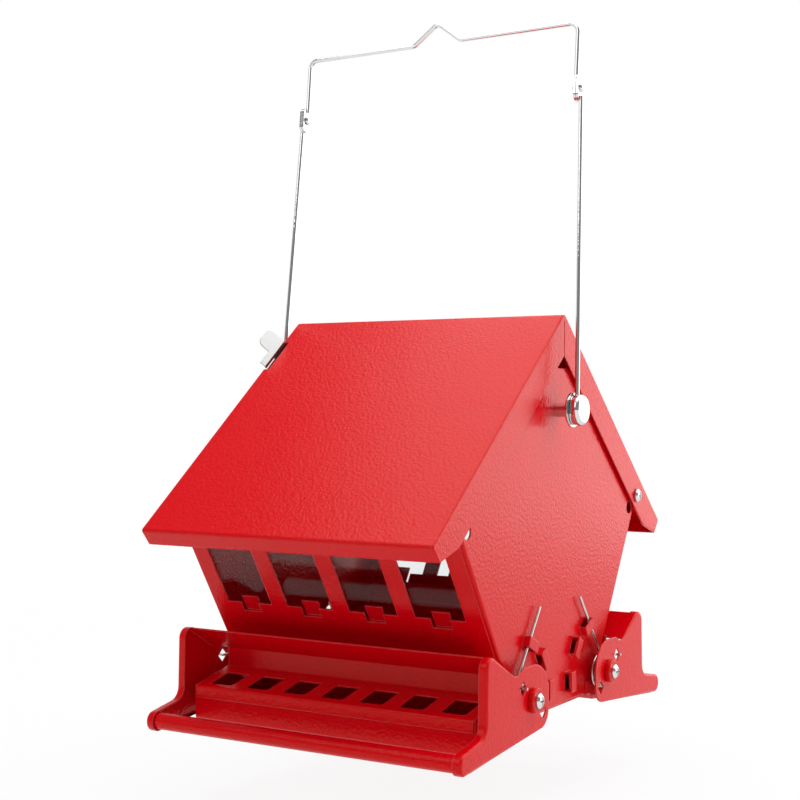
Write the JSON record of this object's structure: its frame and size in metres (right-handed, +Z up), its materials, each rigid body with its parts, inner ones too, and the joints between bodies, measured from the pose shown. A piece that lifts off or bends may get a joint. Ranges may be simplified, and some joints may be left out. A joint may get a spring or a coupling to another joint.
{
  "type": "hopper bird feeder",
  "caption": "Squirrel-resistant steel hopper bird feeder with a hinged gable roof, window walls, sprung perch shields that cover the feeding holes, and a wire hanger.",
  "frame": {"origin": "bottom centre of the box round the whole feeder, level with the toes it stands on", "axes": "+X along the ridge to the end without the catch, +Y from the front to the roof hinge side, +Z up"},
  "size_m": [0.2548, 0.3472, 0.4929],
  "materials": {
    "red_coat": "glossy powder coat on steel sheet with a slight orange peel",
    "red_plastic": "moulded flanged bushing, gloss",
    "clear_pane": "clear polished sheet",
    "bright_steel": "bright zinc and chrome plate",
    "catch_steel": "bright spring strip",
    "spring_steel": "drawn spring wire"
  },
  "bodies": {
    "hopper": {"side_panel_left": "red_coat", "side_panel_right": "red_coat", "front_wall": "red_coat", "rear_wall": "red_coat", "front_pane": "clear_pane", "rear_pane": "clear_pane", "front_feed_plate": "red_coat", "rear_feed_plate": "red_coat", "front_trough": "red_coat", "rear_trough": "red_coat", "hopper_floor": "red_coat", "seed_baffle": "red_coat", "front_springs": "spring_steel", "rear_springs": "spring_steel", "pivot_bushings": "red_plastic", "pivot_screws": "bright_steel", "pivot_nuts": "bright_steel", "hinge_spacers": "bright_steel", "hinge_screws": "bright_steel", "hinge_nuts": "bright_steel", "hanger_studs": "bright_steel", "hanger_washers": "bright_steel"},
    "roof_lid": {"roof": "red_coat", "catch_bracket": "catch_steel", "catch_pin": "catch_steel"},
    "catch_lever": {"roof_catch": "catch_steel"},
    "front_shield_unit": {"front_shield": "red_coat", "front_perch": "red_coat"},
    "rear_shield_unit": {"rear_shield": "red_coat", "rear_perch": "red_coat"},
    "left_arm": {"hanger_arm_left": "bright_steel", "hanger_rivet_left": "bright_steel"},
    "right_arm": {"hanger_arm_right": "bright_steel", "hanger_rivet_right": "bright_steel"},
    "bail": {"hanger_bail": "bright_steel"}
  },
  "joints": [
    {"name": "roof_hinge", "type": "hinge", "parent": "hopper", "child": "roof_lid", "pos_m": [0, 0.12965, 0.14839], "axis": [-1, 0, 0], "range_deg": [0, 65]},
    {"name": "catch_press", "type": "hinge", "parent": "roof_lid", "child": "catch_lever", "pos_m": [-0.1022, 0.01967, 0.25811], "axis": [0, 0.7784, 0.6278], "range_deg": [0, 3.5], "stiffness_Nm_per_rad": 0.3, "springref_deg": -5.73},
    {"name": "front_shield_swing", "type": "hinge", "parent": "hopper", "child": "front_shield_unit", "pos_m": [0, -0.06377, 0.02958], "axis": [1, 0, 0], "range_deg": [0, 30], "stiffness_Nm_per_rad": 0.5, "springref_deg": -34.38, "deforming": ["front_springs"]},
    {"name": "rear_shield_swing", "type": "hinge", "parent": "hopper", "child": "rear_shield_unit", "pos_m": [0, 0.05623, 0.02958], "axis": [-1, 0, 0], "range_deg": [0, 30], "stiffness_Nm_per_rad": 0.5, "springref_deg": -34.38, "deforming": ["rear_springs"]},
    {"name": "left_arm_swing", "type": "hinge", "parent": "hopper", "child": "left_arm", "pos_m": [0, -0.00377, 0.21288], "axis": [1, 0, 0], "range_deg": [-85, 95]},
    {"name": "right_arm_swing", "type": "hinge", "parent": "hopper", "child": "right_arm", "pos_m": [0, -0.00377, 0.21288], "axis": [1, 0, 0], "range_deg": [-85, 95]},
    {"name": "bail_swing", "type": "hinge", "parent": "left_arm", "child": "bail", "pos_m": [0, 0.01698, 0.4324], "axis": [1, 0, 0], "range_deg": [-90, 90]}
  ],
  "couplings": [
    {"joint": "right_arm_swing", "follows": "left_arm_swing", "ratio": 1}
  ]
}
